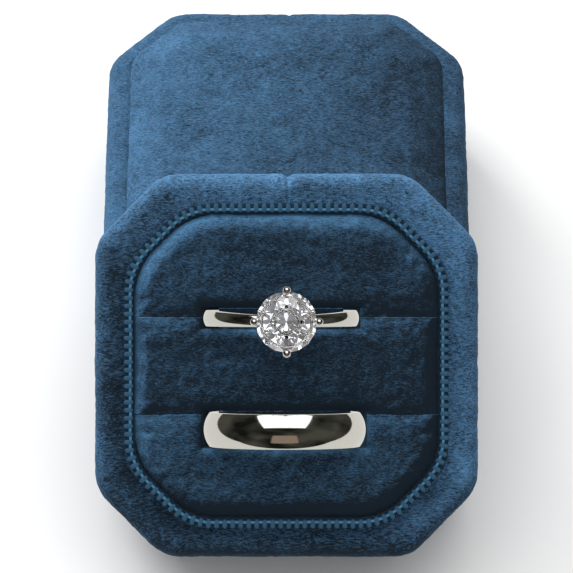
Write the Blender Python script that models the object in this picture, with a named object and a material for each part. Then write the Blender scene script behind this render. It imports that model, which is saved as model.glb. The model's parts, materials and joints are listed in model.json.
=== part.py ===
"""Velvet ring box: an octagonal base with two ring slots leans on its lift-off lid.

Metres, +Z up. The lid stands on its rim behind, at +Y. The base leans back on the lid's
near top edge. The origin is on the floor under the middle of the whole arrangement.
"""

import math

import bmesh
import bpy
from mathutils import Matrix, Vector

MM = 0.001

# Driving dimensions
BOX_WIDTH = 54.0 * MM
BOX_DEPTH = 54.0 * MM
BOX_CHAMFER = 9.6 * MM
BOX_CORNER = 5.0 * MM
SHARPEST_CORNER = 0.25 * MM
BASE_HEIGHT = 19.0 * MM
LID_HEIGHT = 20.8 * MM
TILT = math.radians(35.0)

GAP = 0.3 * MM
VELVET = 0.9 * MM
BASE_BOARD = 2.85 * MM
FLOOR_BOARD = 1.5 * MM
BASE_EDGE = 2.2 * MM
FOOT_EDGE = 1.1 * MM
UNDER_FLAP = 5.0 * MM

PANEL_CHAMFER = 8.6 * MM
PANEL_CORNER = 6.0 * MM
COLLAR_BOARD = 1.1 * MM
COLLAR_RISE = 2.2 * MM
TRIM_WIDTH = 1.4 * MM
TRIM_HEIGHT = 0.7 * MM

PAD_RISE = 3.2 * MM
PAD_EDGE = 1.5 * MM
PAD_COVER = 0.9 * MM
SLOT_WIDTH = 0.9 * MM
UPPER_SLOT = 6.8 * MM
LOWER_SLOT = -6.8 * MM

LID_CLEARANCE = 0.35 * MM
LID_TOP_BOARD = 1.8 * MM
LID_EDGE = 1.8 * MM
RIM_EDGE = 0.8 * MM
ROLL_WIDTH = 3.6 * MM
LINING = 0.6 * MM
TOP_PAD_RISE = 1.4 * MM
TOP_PAD_EDGE = 1.3 * MM
WADDING_EDGE = 0.4 * MM

RING_CLEARANCE = 0.3 * MM
BAND_DIAMETER = 22.4 * MM
BAND_WALL = 1.7 * MM
BAND_WIDTH = 4.65 * MM
BAND_SHOULDER = 0.55
BAND_PROUD = 9.8 * MM
BAND_PLACE = -8.9 * MM

SHANK_DIAMETER = 21.2 * MM
SHANK_WALL = 1.6 * MM
SHANK_WIDTH = 2.1 * MM
SHANK_TOP_WIDTH = 1.4 * MM
SHANK_TAPER = math.radians(75.0)
SHANK_SIDES = 8
SHANK_PROUD = 8.0 * MM
SHANK_PLACE = 6.65 * MM

STONE_DIAMETER = 8.2 * MM
STONE_TABLE = 0.56
STONE_STAR = 0.83
STONE_HEEL = 0.22
CROWN_HEIGHT = 1.25 * MM
GIRDLE_HEIGHT = 0.25 * MM
PAVILION_DEPTH = 3.3 * MM
STONE_GAP = 0.12 * MM
CLAW_RADIUS = 0.4 * MM
CLAW_TIP = 0.45 * MM
CLAW_LEAN = 0.35
CLAW_REACH = 1.45
GALLERY_RISE = 0.55
BASKET_WIRE = 0.33 * MM
FOOT_RING_RISE = 0.35 * MM

ARC_STEPS = 4
EDGE_STEPS = 4
RING_STEPS = 64

# Derived sizes
LEDGE = VELVET + GAP + BASE_BOARD + GAP
BOARD_INSET = VELVET + GAP
PANEL_WIDTH = BOX_WIDTH - 2 * LEDGE
PANEL_DEPTH = BOX_DEPTH - 2 * LEDGE
FLOOR_TOP = BOARD_INSET + FLOOR_BOARD
COLLAR_TOP = BASE_HEIGHT + COLLAR_RISE
PAD_TOP = BASE_HEIGHT + PAD_RISE
PAD_INSET = TRIM_WIDTH + GAP
BAND_CENTRE = PAD_TOP + BAND_PROUD - BAND_DIAMETER / 2
SHANK_CENTRE = PAD_TOP + SHANK_PROUD - SHANK_DIAMETER / 2
RING_BOTTOM = min(BAND_CENTRE - BAND_DIAMETER / 2, SHANK_CENTRE - SHANK_DIAMETER / 2)
BED_TOP = RING_BOTTOM - GAP
PAD_BOTTOM = BED_TOP + GAP
LID_LINING_TOP = LID_HEIGHT - VELVET - 2 * GAP - LID_TOP_BOARD
CAVITY_TOP = LID_LINING_TOP - GAP - LINING

COLOURS = {
    "outer_velvet": ((0.05, 0.12, 0.22), 0.9, 0.0),
    "pad_velvet": ((0.03, 0.08, 0.16), 0.9, 0.0),
    "lining": ((0.04, 0.09, 0.17), 0.85, 0.0),
    "trim": ((0.02, 0.08, 0.17), 0.8, 0.0),
    "board": ((0.42, 0.38, 0.33), 0.85, 0.0),
    "foam": ((0.72, 0.72, 0.68), 0.95, 0.0),
    "white_gold": ((0.78, 0.77, 0.74), 0.08, 1.0),
    "stone": ((0.92, 0.94, 0.97), 0.02, 0.0),
}


def material(name, finish):
    """A Principled material with the finish's colour, roughness and metallic value."""
    colour, roughness, metallic = COLOURS[finish]
    made = bpy.data.materials.new(name)
    made.use_nodes = True
    shader = made.node_tree.nodes["Principled BSDF"]
    shader.inputs["Base Color"].default_value = (*colour, 1.0)
    shader.inputs["Roughness"].default_value = roughness
    shader.inputs["Metallic"].default_value = metallic
    return made


def collection(name):
    made = bpy.data.collections.new(name)
    bpy.context.scene.collection.children.link(made)
    return made


def object_from(bm, name, finish, parent, smooth=math.radians(40)):
    """Turns a bmesh into a part of the box, in its parent empty's frame."""
    bmesh.ops.recalc_face_normals(bm, faces=bm.faces)
    mesh = bpy.data.meshes.new(name)
    bm.to_mesh(mesh)
    bm.free()
    mesh.shade_smooth()
    mesh.set_sharp_from_angle(angle=smooth)
    made = bpy.data.objects.new(name, mesh)
    if finish:
        mesh.materials.append(material(name, finish))
        PARTS.objects.link(made)
    else:
        made.hide_render = True
        made.display_type = "WIRE"
        CUTTERS.objects.link(made)
    made.parent = parent
    return made


def cut(target, cutter, operation="DIFFERENCE"):
    modifier = target.modifiers.new(cutter.name, "BOOLEAN")
    modifier.operation = operation
    modifier.object = cutter
    modifier.solver = "EXACT"


# Outlines: an octagon with rounded corners, anticlockwise, always with as many points
def octagon(half_x, half_y, chamfer, corner):
    corners = []
    for sx, sy in ((1, 1), (-1, 1), (-1, -1), (1, -1)):
        pair = [
            Vector((sx * half_x, sy * (half_y - chamfer))),
            Vector((sx * (half_x - chamfer), sy * half_y)),
        ]
        corners += pair if sx * sy > 0 else pair[::-1]
    points = []
    for i, here in enumerate(corners):
        back = (corners[i - 1] - here).normalized()
        ahead = (corners[(i + 1) % 8] - here).normalized()
        half_turn = (math.pi - back.angle(ahead)) / 2
        tangent = corner * math.tan(half_turn)
        centre = here + (back + ahead).normalized() * (corner / math.cos(half_turn))
        start = here + back * tangent - centre
        for step in range(ARC_STEPS + 1):
            turn = Matrix.Rotation(2 * half_turn * step / ARC_STEPS, 2)
            points.append(centre + turn @ start)
    return points


def inset_octagon(width, depth, chamfer, corner, inset):
    narrower = chamfer - (2 - math.sqrt(2)) * inset
    radius = max(corner - inset, SHARPEST_CORNER)
    return octagon(width / 2 - inset, depth / 2 - inset, narrower, radius)


def box_outline(inset):
    return inset_octagon(BOX_WIDTH, BOX_DEPTH, BOX_CHAMFER, BOX_CORNER, inset)


def panel_outline(inset):
    return inset_octagon(PANEL_WIDTH, PANEL_DEPTH, PANEL_CHAMFER, PANEL_CORNER, inset)


def cavity_outline(inset):
    return panel_outline(inset - LID_CLEARANCE)


def add_loop(bm, outline, height):
    return [bm.verts.new((p.x, p.y, height)) for p in outline]


def skin(bm, loops, closed):
    """Lofts through loops of points, then joins the last to the first or caps both ends."""
    for a, b in zip(loops, loops[1:] + loops[:1] if closed else loops[1:]):
        for i in range(len(a)):
            bm.faces.new((a[i - 1], a[i], b[i], b[i - 1]))
    if not closed:
        for loop in (loops[0], loops[-1]):
            bm.faces.new(loop)


def band_of(profile):
    """A closed ring whose section is a list of (outline function, inset, height)."""
    bm = bmesh.new()
    skin(bm, [add_loop(bm, shape(inset), z) for shape, inset, z in profile], True)
    return bm


def slab_of(profile):
    """A solid stack of outlines, capped at both ends."""
    bm = bmesh.new()
    skin(bm, [add_loop(bm, shape(inset), z) for shape, inset, z in profile], False)
    return bm


def arc(shape, centre_inset, centre_z, radius, start, end):
    """Profile points of an arc. Angle 0 points inwards and 90 degrees points up."""
    found = []
    for step in range(EDGE_STEPS + 1):
        angle = math.radians(start + (end - start) * step / EDGE_STEPS)
        inset = centre_inset + radius * math.cos(angle)
        found.append((shape, inset, centre_z + radius * math.sin(angle)))
    return found


def domed(shape, inset, bottom, top, edge):
    """A slab with a rounded upper edge."""
    return slab_of(
        [(shape, inset, bottom)] + arc(shape, inset + edge, top - edge, edge, 180, 90)
    )


def straight_ring(outer, outer_inset, inner, inner_inset, bottom, top):
    return band_of(
        [
            (outer, outer_inset, bottom),
            (outer, outer_inset, top),
            (inner, inner_inset, top),
            (inner, inner_inset, bottom),
        ]
    )


# Base
def base_velvet_wrap(parent):
    """Velvet round the wall: under the foot, up the side and in over the ledge."""
    inner_edge = BASE_EDGE - VELVET
    profile = [(box_outline, UNDER_FLAP, 0)]
    profile += arc(box_outline, FOOT_EDGE, FOOT_EDGE, FOOT_EDGE, 270, 180)
    top = BASE_HEIGHT - BASE_EDGE
    profile += arc(box_outline, BASE_EDGE, top, BASE_EDGE, 180, 90)
    profile += [(panel_outline, -GAP, BASE_HEIGHT), (panel_outline, -GAP, BASE_HEIGHT - VELVET)]
    profile += arc(box_outline, BASE_EDGE, top, inner_edge, 90, 180)
    profile += [(box_outline, VELVET, VELVET), (box_outline, UNDER_FLAP, VELVET)]
    object_from(band_of(profile), "base_velvet_wrap", "outer_velvet", parent)


def base_boards(parent):
    top = BASE_HEIGHT - BOARD_INSET
    edge = BASE_EDGE - BOARD_INSET
    profile = [(box_outline, BOARD_INSET, BOARD_INSET)]
    profile += arc(box_outline, BASE_EDGE, BASE_HEIGHT - BASE_EDGE, edge, 180, 90)
    profile += [(panel_outline, -GAP, top), (panel_outline, -GAP, BOARD_INSET)]
    object_from(band_of(profile), "base_wall_board", "board", parent)
    floor = slab_of([(panel_outline, 0, BOARD_INSET), (panel_outline, 0, FLOOR_TOP)])
    object_from(floor, "base_floor_board", "board", parent)
    inset = UNDER_FLAP + GAP
    under = slab_of([(box_outline, inset, 0), (box_outline, inset, VELVET)])
    object_from(under, "base_underside_cover", "outer_velvet", parent)


def collar(parent):
    foot = FLOOR_TOP + GAP
    board = straight_ring(panel_outline, 0, panel_outline, COLLAR_BOARD, foot, COLLAR_TOP)
    object_from(board, "collar_board", "board", parent)
    bottom = COLLAR_TOP + GAP
    edge = TRIM_HEIGHT / 2
    profile = [(panel_outline, edge, bottom)]
    profile += arc(panel_outline, edge, bottom + edge, edge, 180, 90)
    profile += arc(panel_outline, TRIM_WIDTH - edge, bottom + edge, edge, 90, 0)
    profile += [(panel_outline, TRIM_WIDTH - edge, bottom)]
    object_from(band_of(profile), "collar_trim", "trim", parent)


def keep_between(bm, low, high):
    """Slices a solid across Y and keeps what lies between the two places."""
    for place, normal in ((low, (0, -1, 0)), (high, (0, 1, 0))):
        if place is None:
            continue
        cut_geometry = bmesh.ops.bisect_plane(
            bm,
            geom=bm.verts[:] + bm.edges[:] + bm.faces[:],
            plane_co=(0, place, 0),
            plane_no=normal,
            clear_outer=True,
        )["geom_cut"]
        edges = [item for item in cut_geometry if isinstance(item, bmesh.types.BMEdge)]
        bmesh.ops.edgeloop_fill(bm, edges=edges)
    return bm


def disc_cutter(name, parent, place, centre_z, diameter, width):
    """The pocket that a ring's lower half stands in, a short drum across the slot."""
    bm = bmesh.new()
    bmesh.ops.create_cone(
        bm,
        cap_ends=True,
        segments=RING_STEPS,
        radius1=diameter / 2 + RING_CLEARANCE,
        radius2=diameter / 2 + RING_CLEARANCE,
        depth=width + 2 * RING_CLEARANCE,
        matrix=Matrix.Translation((0, place, centre_z))
        @ Matrix.Rotation(math.radians(90), 4, "X"),
    )
    return object_from(bm, name, None, parent)


def pads(parent):
    """Three padded sections of one panel, each a foam core under a velvet cover."""
    bed = slab_of(
        [
            (panel_outline, COLLAR_BOARD + GAP, FLOOR_TOP + GAP),
            (panel_outline, COLLAR_BOARD + GAP, BED_TOP),
        ]
    )
    object_from(bed, "foam_bed", "foam", parent)
    band = disc_cutter(
        "band_pocket", parent, BAND_PLACE, BAND_CENTRE, BAND_DIAMETER, BAND_WIDTH
    )
    shank = disc_cutter(
        "shank_pocket", parent, SHANK_PLACE, SHANK_CENTRE, SHANK_DIAMETER, SHANK_WIDTH
    )
    half_slot = SLOT_WIDTH / 2
    band_low = BAND_PLACE - BAND_WIDTH / 2 - RING_CLEARANCE
    band_high = BAND_PLACE + BAND_WIDTH / 2 + RING_CLEARANCE
    shank_low = SHANK_PLACE - SHANK_WIDTH / 2 - RING_CLEARANCE
    shank_high = SHANK_PLACE + SHANK_WIDTH / 2 + RING_CLEARANCE
    skin_gap = PAD_COVER + GAP
    sections = {
        "upper": (UPPER_SLOT + half_slot, None, (shank,), shank_high, None),
        "middle": (LOWER_SLOT + half_slot, UPPER_SLOT - half_slot, (shank, band), band_high, shank_low),
        "lower": (None, LOWER_SLOT - half_slot, (band,), None, band_low),
    }
    for name, (low, high, pockets, pocket_low, pocket_high) in sections.items():
        # The foam keeps clear of the pockets too, so the cover is whole all round them.
        core_low = low if low is None else max(low, pocket_low) + skin_gap
        core_high = high if high is None else min(high, pocket_high) - skin_gap
        core = domed(
            panel_outline, PAD_INSET + skin_gap, PAD_BOTTOM, PAD_TOP - skin_gap, PAD_EDGE
        )
        object_from(
            keep_between(core, core_low, core_high), f"pad_{name}_foam", "foam", parent
        )
        cover = domed(panel_outline, PAD_INSET, PAD_BOTTOM, PAD_TOP, PAD_EDGE)
        made = object_from(
            keep_between(cover, low, high), f"pad_{name}_cover", "pad_velvet", parent
        )
        hollow = domed(
            panel_outline,
            PAD_INSET + PAD_COVER,
            PAD_BOTTOM - skin_gap,
            PAD_TOP - PAD_COVER,
            PAD_EDGE,
        )
        hollow_low = core_low if core_low is None else core_low - GAP
        hollow_high = core_high if core_high is None else core_high + GAP
        cut(
            made,
            object_from(
                keep_between(hollow, hollow_low, hollow_high), f"hollow_{name}", None, parent
            ),
        )
        for pocket in pockets:
            cut(made, pocket)


# Rings
def wedding_band(parent):
    """A court-section band, its profile turned about the ring's axis."""
    outer = BAND_DIAMETER / 2
    inner = outer - BAND_WALL
    half = BAND_WIDTH / 2
    shoulder = BAND_SHOULDER * BAND_WALL
    steps = 8
    bm = bmesh.new()
    profile = [bm.verts.new((inner, 0, half)), bm.verts.new((inner + shoulder, 0, half))]
    for step in range(1, steps):
        angle = math.pi * step / steps
        radius = inner + shoulder + (BAND_WALL - shoulder) * math.sin(angle)
        profile.append(bm.verts.new((radius, 0, half * math.cos(angle))))
    profile += [bm.verts.new((inner + shoulder, 0, -half)), bm.verts.new((inner, 0, -half))]
    for pair in zip(profile, profile[1:] + profile[:1]):
        bm.edges.new(pair)
    bmesh.ops.spin(
        bm,
        geom=bm.verts[:] + bm.edges[:],
        axis=(0, 0, 1),
        cent=(0, 0, 0),
        angle=2 * math.pi,
        steps=RING_STEPS,
        use_merge=True,
    )
    bmesh.ops.remove_doubles(bm, verts=bm.verts, dist=0.001 * MM)
    bm.transform(Matrix.Rotation(math.radians(90), 4, "X"))
    object_from(bm, "wedding_band", "white_gold", parent)


def shank_section(angle):
    """One section of the shank at an angle from the top: narrower under the stone."""
    outer = SHANK_DIAMETER / 2
    widen = min(abs(angle) / SHANK_TAPER, 1.0)
    half = (SHANK_TOP_WIDTH + (SHANK_WIDTH - SHANK_TOP_WIDTH) * widen) / 2
    turn = Matrix.Rotation(angle, 3, "Y")
    found = []
    for step in range(SHANK_SIDES):
        around = 2 * math.pi * (step + 0.5) / SHANK_SIDES
        flat = 0.5 if math.sin(around) < 0 else 1.0
        y = half * math.cos(around)
        z = outer - SHANK_WALL / 2 + SHANK_WALL / 2 * math.sin(around) * flat
        found.append(turn @ Vector((0, y, z)))
    return found


def solitaire_shank(parent):
    """A closed hoop lofted through sections that change width."""
    bm = bmesh.new()
    loops = []
    for step in range(RING_STEPS):
        angle = math.pi * (2 * step / RING_STEPS - 1)
        loops.append([bm.verts.new(p) for p in shank_section(angle)])
    skin(bm, loops, True)
    object_from(bm, "solitaire_shank", "white_gold", parent)


def stone_points():
    """The corners of a round brilliant, with the girdle's lower edge at z = 0."""
    radius = STONE_DIAMETER / 2
    table = radius * STONE_TABLE
    crown = GIRDLE_HEIGHT + CROWN_HEIGHT

    def circle(count, r, z, offset=0.0):
        turns = [2 * math.pi * (i + offset) / count for i in range(count)]
        return [Vector((r * math.cos(a), r * math.sin(a), z)) for a in turns]

    # The middle corners of the kite facets lie on the plane through each kite's two ends.
    half_step = math.cos(math.pi / 8)
    star_fall = (STONE_STAR * half_step - STONE_TABLE) / (1 - STONE_TABLE)
    star = GIRDLE_HEIGHT + (1 - star_fall) * CROWN_HEIGHT
    heel = -(1 - STONE_HEEL * half_step) * PAVILION_DEPTH
    points = circle(8, table, crown)
    points += circle(8, STONE_STAR * radius, star, 0.5)
    points += circle(16, radius, GIRDLE_HEIGHT)
    points += circle(16, radius, 0.0)
    points += circle(8, STONE_HEEL * radius, heel, 0.5)
    points.append(Vector((0, 0, -PAVILION_DEPTH)))
    return points


def solitaire_stone(parent, girdle):
    bm = bmesh.new()
    for point in stone_points():
        bm.verts.new(point + Vector((0, 0, girdle)))
    bmesh.ops.convex_hull(bm, input=bm.verts)
    bmesh.ops.delete(bm, geom=[v for v in bm.verts if not v.link_faces], context="VERTS")
    object_from(bm, "solitaire_stone", "stone", parent, smooth=0.0)


def torus(name, finish, parent, radius, height):
    """A wire ring of the basket, flat about Z."""
    bm = bmesh.new()
    place = Matrix.Translation((radius, 0, height))
    section = bmesh.ops.create_circle(
        bm, segments=8, radius=BASKET_WIRE, matrix=place @ Matrix.Rotation(math.radians(90), 4, "X")
    )["verts"]
    bmesh.ops.spin(
        bm,
        geom=section + bm.edges[:],
        axis=(0, 0, 1),
        cent=(0, 0, 0),
        angle=2 * math.pi,
        steps=32,
        use_merge=True,
    )
    bmesh.ops.remove_doubles(bm, verts=bm.verts, dist=0.001 * MM)
    return object_from(bm, name, finish, parent)


def claw_cutter(name, parent, path, turn):
    """A round wire along a path in the XZ plane, turned about Z to its place."""
    bm = bmesh.new()
    loops = []
    for i, here in enumerate(path):
        along = (path[min(i + 1, len(path) - 1)] - path[max(i - 1, 0)]).normalized()
        side = Vector((0, 1, 0))
        lift = along.cross(side)
        angles = [2 * math.pi * k / 10 for k in range(10)]
        loops.append(
            [
                bm.verts.new(turn @ (here + CLAW_RADIUS * (side * math.cos(a) + lift * math.sin(a))))
                for a in angles
            ]
        )
    skin(bm, loops, False)
    return object_from(bm, name, None, parent)


def solitaire_head(parent, girdle):
    """A basket of two rings and four claws; the claws follow the stone's underside."""
    slope = STONE_DIAMETER / 2 / PAVILION_DEPTH
    stand_off = STONE_GAP + CLAW_RADIUS
    along_cone = stand_off * math.hypot(slope, 1)
    culet = girdle - PAVILION_DEPTH
    upright = STONE_DIAMETER / 2 + stand_off
    foot = culet + FOOT_RING_RISE
    gallery = culet + GALLERY_RISE * PAVILION_DEPTH
    knee = culet + (upright - along_cone) / slope
    top = girdle + GIRDLE_HEIGHT

    def radius_at(height):
        return slope * (height - culet) + along_cone

    tip = Vector((STONE_DIAMETER / 2 + CLAW_LEAN * CLAW_TIP, 0, top + CLAW_REACH * CLAW_TIP))
    path = [
        Vector((radius_at(foot), 0, foot)),
        Vector((upright, 0, knee)),
        Vector((upright, 0, top + 0.1 * MM)),
        tip,
    ]
    head = torus("solitaire_head", "white_gold", parent, radius_at(foot), foot)
    cut(head, torus("gallery_ring", None, parent, radius_at(gallery), gallery), "UNION")
    for index in range(4):
        turn = Matrix.Rotation(math.radians(90 * index), 3, "Z")
        cut(head, claw_cutter(f"claw_{index}", parent, path, turn), "UNION")
        ball = bmesh.new()
        bmesh.ops.create_uvsphere(ball, u_segments=12, v_segments=8, radius=CLAW_TIP)
        ball.transform(Matrix.Translation(turn @ tip))
        cut(head, object_from(ball, f"claw_tip_{index}", None, parent), "UNION")


# Lid
def lid_velvet_wrap(parent):
    """Velvet under the rim, up the side, rolled over the top edge and in to the crease."""
    profile = [(cavity_outline, 0, 0)]
    profile += arc(box_outline, RIM_EDGE, RIM_EDGE, RIM_EDGE, 270, 180)
    top = LID_HEIGHT - LID_EDGE
    profile += arc(box_outline, LID_EDGE, top, LID_EDGE, 180, 90)
    profile += [(box_outline, ROLL_WIDTH, LID_HEIGHT), (box_outline, ROLL_WIDTH, LID_HEIGHT - VELVET)]
    profile += arc(box_outline, LID_EDGE, top, LID_EDGE - VELVET, 90, 180)
    profile += [(box_outline, VELVET, VELVET), (cavity_outline, 0, VELVET)]
    object_from(band_of(profile), "lid_velvet_wrap", "outer_velvet", parent)


def lid_boards(parent):
    top = LID_HEIGHT - BOARD_INSET
    edge = LID_EDGE - BOARD_INSET
    lining_back = -(LINING + GAP)
    profile = [(box_outline, BOARD_INSET, BOARD_INSET)]
    profile += arc(box_outline, LID_EDGE, LID_HEIGHT - LID_EDGE, edge, 180, 90)
    profile += [(cavity_outline, lining_back, top), (cavity_outline, lining_back, BOARD_INSET)]
    object_from(band_of(profile), "lid_wall_board", "board", parent)
    panel_top = LID_LINING_TOP + LID_TOP_BOARD
    panel = slab_of(
        [(cavity_outline, -LINING, LID_LINING_TOP), (cavity_outline, -LINING, panel_top)]
    )
    object_from(panel, "lid_top_board", "board", parent)


def lid_linings(parent):
    side = straight_ring(
        cavity_outline, -LINING, cavity_outline, 0, BOARD_INSET, LID_LINING_TOP - GAP
    )
    object_from(side, "lid_wall_lining", "lining", parent)
    above = slab_of(
        [(cavity_outline, GAP, CAVITY_TOP), (cavity_outline, GAP, LID_LINING_TOP - GAP)]
    )
    object_from(above, "lid_top_lining", "lining", parent)


def lid_top_pad(parent):
    bottom = LID_LINING_TOP + LID_TOP_BOARD + GAP
    top = LID_HEIGHT + TOP_PAD_RISE
    inset = ROLL_WIDTH + GAP
    cover = domed(box_outline, inset, bottom, top, TOP_PAD_EDGE)
    made = object_from(cover, "lid_top_cover", "outer_velvet", parent)
    inner = inset + VELVET
    hollow = domed(box_outline, inner, bottom - VELVET, top - VELVET, WADDING_EDGE)
    cut(made, object_from(hollow, "hollow_lid_top", None, parent))
    wadding = domed(box_outline, inner + GAP, bottom, top - VELVET - GAP, WADDING_EDGE)
    object_from(wadding, "lid_top_wadding", "foam", parent)


def empty(name, location, parent=None, tilt=0.0):
    made = bpy.data.objects.new(name, None)
    made.location = location
    made.rotation_euler = (tilt, 0, 0)
    made.parent = parent
    PARTS.objects.link(made)
    return made


def arrangement():
    """Where the base's foot line and the lid's middle lie, so that the base leans on it."""
    lean_sin = math.sin(TILT)
    lean_cos = math.cos(TILT)
    foot_drop = FOOT_EDGE * (lean_sin + lean_cos - 1)
    reach = LID_EDGE + GAP + (LID_HEIGHT - LID_EDGE + foot_drop) * lean_cos
    near_side = reach / lean_sin - LID_EDGE
    front = (BASE_HEIGHT - BASE_EDGE) * lean_sin - BASE_EDGE * lean_cos + BASE_EDGE
    foot_y = (front - near_side - BOX_DEPTH) / 2
    half_depth = BOX_DEPTH / 2
    base = (0, foot_y + half_depth * lean_cos, half_depth * lean_sin - foot_drop)
    lid = (0, foot_y + near_side + half_depth, 0)
    return base, lid


def main():
    base_place, lid_place = arrangement()
    lid = empty("lid_frame", lid_place)
    base = empty("base_frame", base_place, tilt=TILT)
    band = empty("band_frame", (0, BAND_PLACE, BAND_CENTRE), base)
    solitaire = empty("solitaire_frame", (0, SHANK_PLACE, SHANK_CENTRE), base)

    lid_velvet_wrap(lid)
    lid_boards(lid)
    lid_linings(lid)
    lid_top_pad(lid)

    base_velvet_wrap(base)
    base_boards(base)
    collar(base)
    pads(base)

    wedding_band(band)
    girdle = SHANK_DIAMETER / 2 + GAP + PAVILION_DEPTH
    solitaire_shank(solitaire)
    solitaire_stone(solitaire, girdle)
    solitaire_head(solitaire, girdle)


for old in list(bpy.data.objects):
    bpy.data.objects.remove(old)
PARTS = collection("ring_box")
CUTTERS = collection("cutters")
main()
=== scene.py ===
"""Velvet ring box: the finished surfaces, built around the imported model."""

import json
import math

import bmesh
import bpy
from bpy.props import FloatProperty, FloatVectorProperty, PointerProperty
from mathutils import Matrix, Vector, noise


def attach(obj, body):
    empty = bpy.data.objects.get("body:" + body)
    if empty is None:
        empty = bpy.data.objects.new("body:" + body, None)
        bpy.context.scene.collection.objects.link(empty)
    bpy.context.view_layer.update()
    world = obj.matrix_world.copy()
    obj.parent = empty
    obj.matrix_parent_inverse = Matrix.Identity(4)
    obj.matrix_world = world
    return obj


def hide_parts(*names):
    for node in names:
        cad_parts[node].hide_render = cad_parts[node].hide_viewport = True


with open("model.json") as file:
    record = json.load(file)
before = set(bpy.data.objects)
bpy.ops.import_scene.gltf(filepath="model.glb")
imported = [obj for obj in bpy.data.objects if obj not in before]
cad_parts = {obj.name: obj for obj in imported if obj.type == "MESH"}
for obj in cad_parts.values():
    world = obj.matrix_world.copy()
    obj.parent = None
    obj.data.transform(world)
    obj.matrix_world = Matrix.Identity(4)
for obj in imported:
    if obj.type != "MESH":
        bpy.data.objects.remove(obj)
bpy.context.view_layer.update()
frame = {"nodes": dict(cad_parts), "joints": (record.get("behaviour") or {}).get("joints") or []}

bl_info = {
    "name": "Velvet Ring Box",
    "version": (1, 0, 0),
    "blender": (4, 5, 0),
    "location": "3D View > Sidebar > Ring Box",
    "description": "Builds an octagonal velvet ring box with its lid, pads, trim and two rings",
    "category": "Add Mesh",
}

MM = 0.001


# ---------------------------------------------------------------- sizes and colours
def length(name, description, default, low=0.0, high=20.0):
    return FloatProperty(
        name=name, description=description, default=default * MM,
        min=low * MM, max=high * MM, unit="LENGTH", precision=5,
    )


def colour(name, description, default):
    return FloatVectorProperty(
        name=name, description=description, default=default, size=3, min=0.0, max=1.0,
        subtype="COLOR",
    )


class RingBoxSizes(bpy.types.PropertyGroup):
    cloth: length("Velvet", "Thickness of the velvet round the walls", 0.8)
    box_corner: length("Wall corner", "Radius of the wall's corners", 6.0)
    panel_corner: length("Panel corner", "Radius of the collar's corners", 9.5)
    base_edge: length("Base edge", "Radius of the base's upper outer edge", 2.2)
    foot_edge: length("Foot edge", "Radius of the base's lower edge", 1.1)
    lid_edge: length("Lid edge", "Radius of the lid's rolled top edge", 1.8)
    roll_width: length("Lid roll", "Width of the rolled edge round the lid's top", 3.6)
    lid_pad_corner: length("Lid pad corner", "Radius of the lid pad's corners seen from above", 4.5)
    lid_pad_edge: length("Lid pad edge", "Width of the slope round the lid's pad", 4.2)
    lid_pad_fall: length("Lid pad fall", "Depth of the slope round the lid's pad", 1.75)
    lid_pad_far: length("Lid pad reach", "How much further the lid's pad reaches at the far side", 1.4)
    pile: length("Pile", "Height of the clumps in the pile", 0.08)
    sag: length("Unevenness", "Height of the slow waves in the covering", 0.1)
    pad_corner: length("Pad corner", "Radius of the pads' corners seen from above", 10.0)
    pad_edge: length("Pad edge", "Radius of the pads' outer edge", 1.9)
    pad_overlap: length("Pad overlap", "How far the pads bulge over the trim", 0.25)
    pad_swell: length("Pad swell", "How far the pads stand above their covers", 0.45)
    lip_edge: length("Slot lip", "Width of the soft lips beside a slot", 1.5)
    lip_depth: length("Lip depth", "How far the lips fall towards the slot", 0.18)
    slot_gap: length("Slot gap", "Gap between two pads", 0.0)
    ring_gap: length("Ring gap", "Gap between a ring and the velvet round it", 0.12)
    puff: length("Puff", "Most that a padded top may swell", 0.25)
    band_aside: length("Band aside", "How far right of the middle the band stands", -0.25, -2.0)
    hoop_aside: length("Hoop aside", "How far right of the middle the hoop stands", -0.75, -2.0)
    hoop_lean: FloatProperty(
        name="Hoop lean", description="Turn of the solitaire in its slot, stone to the right",
        default=math.radians(3.0), min=-0.2, max=0.2, subtype="ANGLE",
    )
    rung_pitch: length("Rung pitch", "Distance between the trim's rungs", 1.12)
    rung_width: length("Rung width", "Width of one rung of the trim", 0.66)
    stitch: length("Thread", "Thickness of the trim's thread", 0.19)


class RingBoxColours(bpy.types.PropertyGroup):
    # The dark and light velvet tones are the ends of a tone scale set partly by pile texture and partly
    # by painted light and shade.
    velvet_dark: colour("Velvet shade", "Velvet where the pile stands up", (0.010, 0.017, 0.025))
    velvet_light: colour("Velvet light", "Velvet where the pile lies over", (0.066, 0.158, 0.285))
    pad_dark: colour("Pad shade", "Pad velvet where the pile stands up", (0.009, 0.016, 0.025))
    pad_light: colour("Pad light", "Pad velvet where the pile lies over", (0.062, 0.160, 0.290))
    sheen: colour("Sheen", "Tint of the pile's rim light", (0.35, 0.62, 1.0))
    ribbon: colour("Ribbon", "Ground of the trim ribbon", (0.002, 0.010, 0.024))
    weft: colour("Ribbon weft", "Lighter yarn in the ribbon's ground", (0.008, 0.030, 0.060))
    rung: colour("Rung", "Yarn of the trim's rungs", (0.026, 0.068, 0.112))
    thread: colour("Thread", "Thread along the trim", (0.042, 0.140, 0.250))
    metal: colour("Metal", "Polished white metal", (0.78, 0.77, 0.73))
    stone: colour("Stone", "Body colour of the stone", (1.0, 1.0, 1.0))
    board: colour("Board", "Grey board inside the walls", (0.40, 0.37, 0.32))
    foam: colour("Foam", "Foam inside the pads", (0.70, 0.70, 0.66))
    floor: colour("Floor", "Studio floor", (0.92, 0.92, 0.92))


def sizes():
    return bpy.context.scene.ring_box_sizes


def colours():
    return bpy.context.scene.ring_box_colours


# ---------------------------------------------------------------- places from the frame
def turned_box(node, turn):
    """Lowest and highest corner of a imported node, seen in a turned frame."""
    points = [turn @ v.co for v in frame["nodes"][node].data.vertices]
    low = Vector([min(p[i] for p in points) for i in range(3)])
    high = Vector([max(p[i] for p in points) for i in range(3)])
    return low, high


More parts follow.
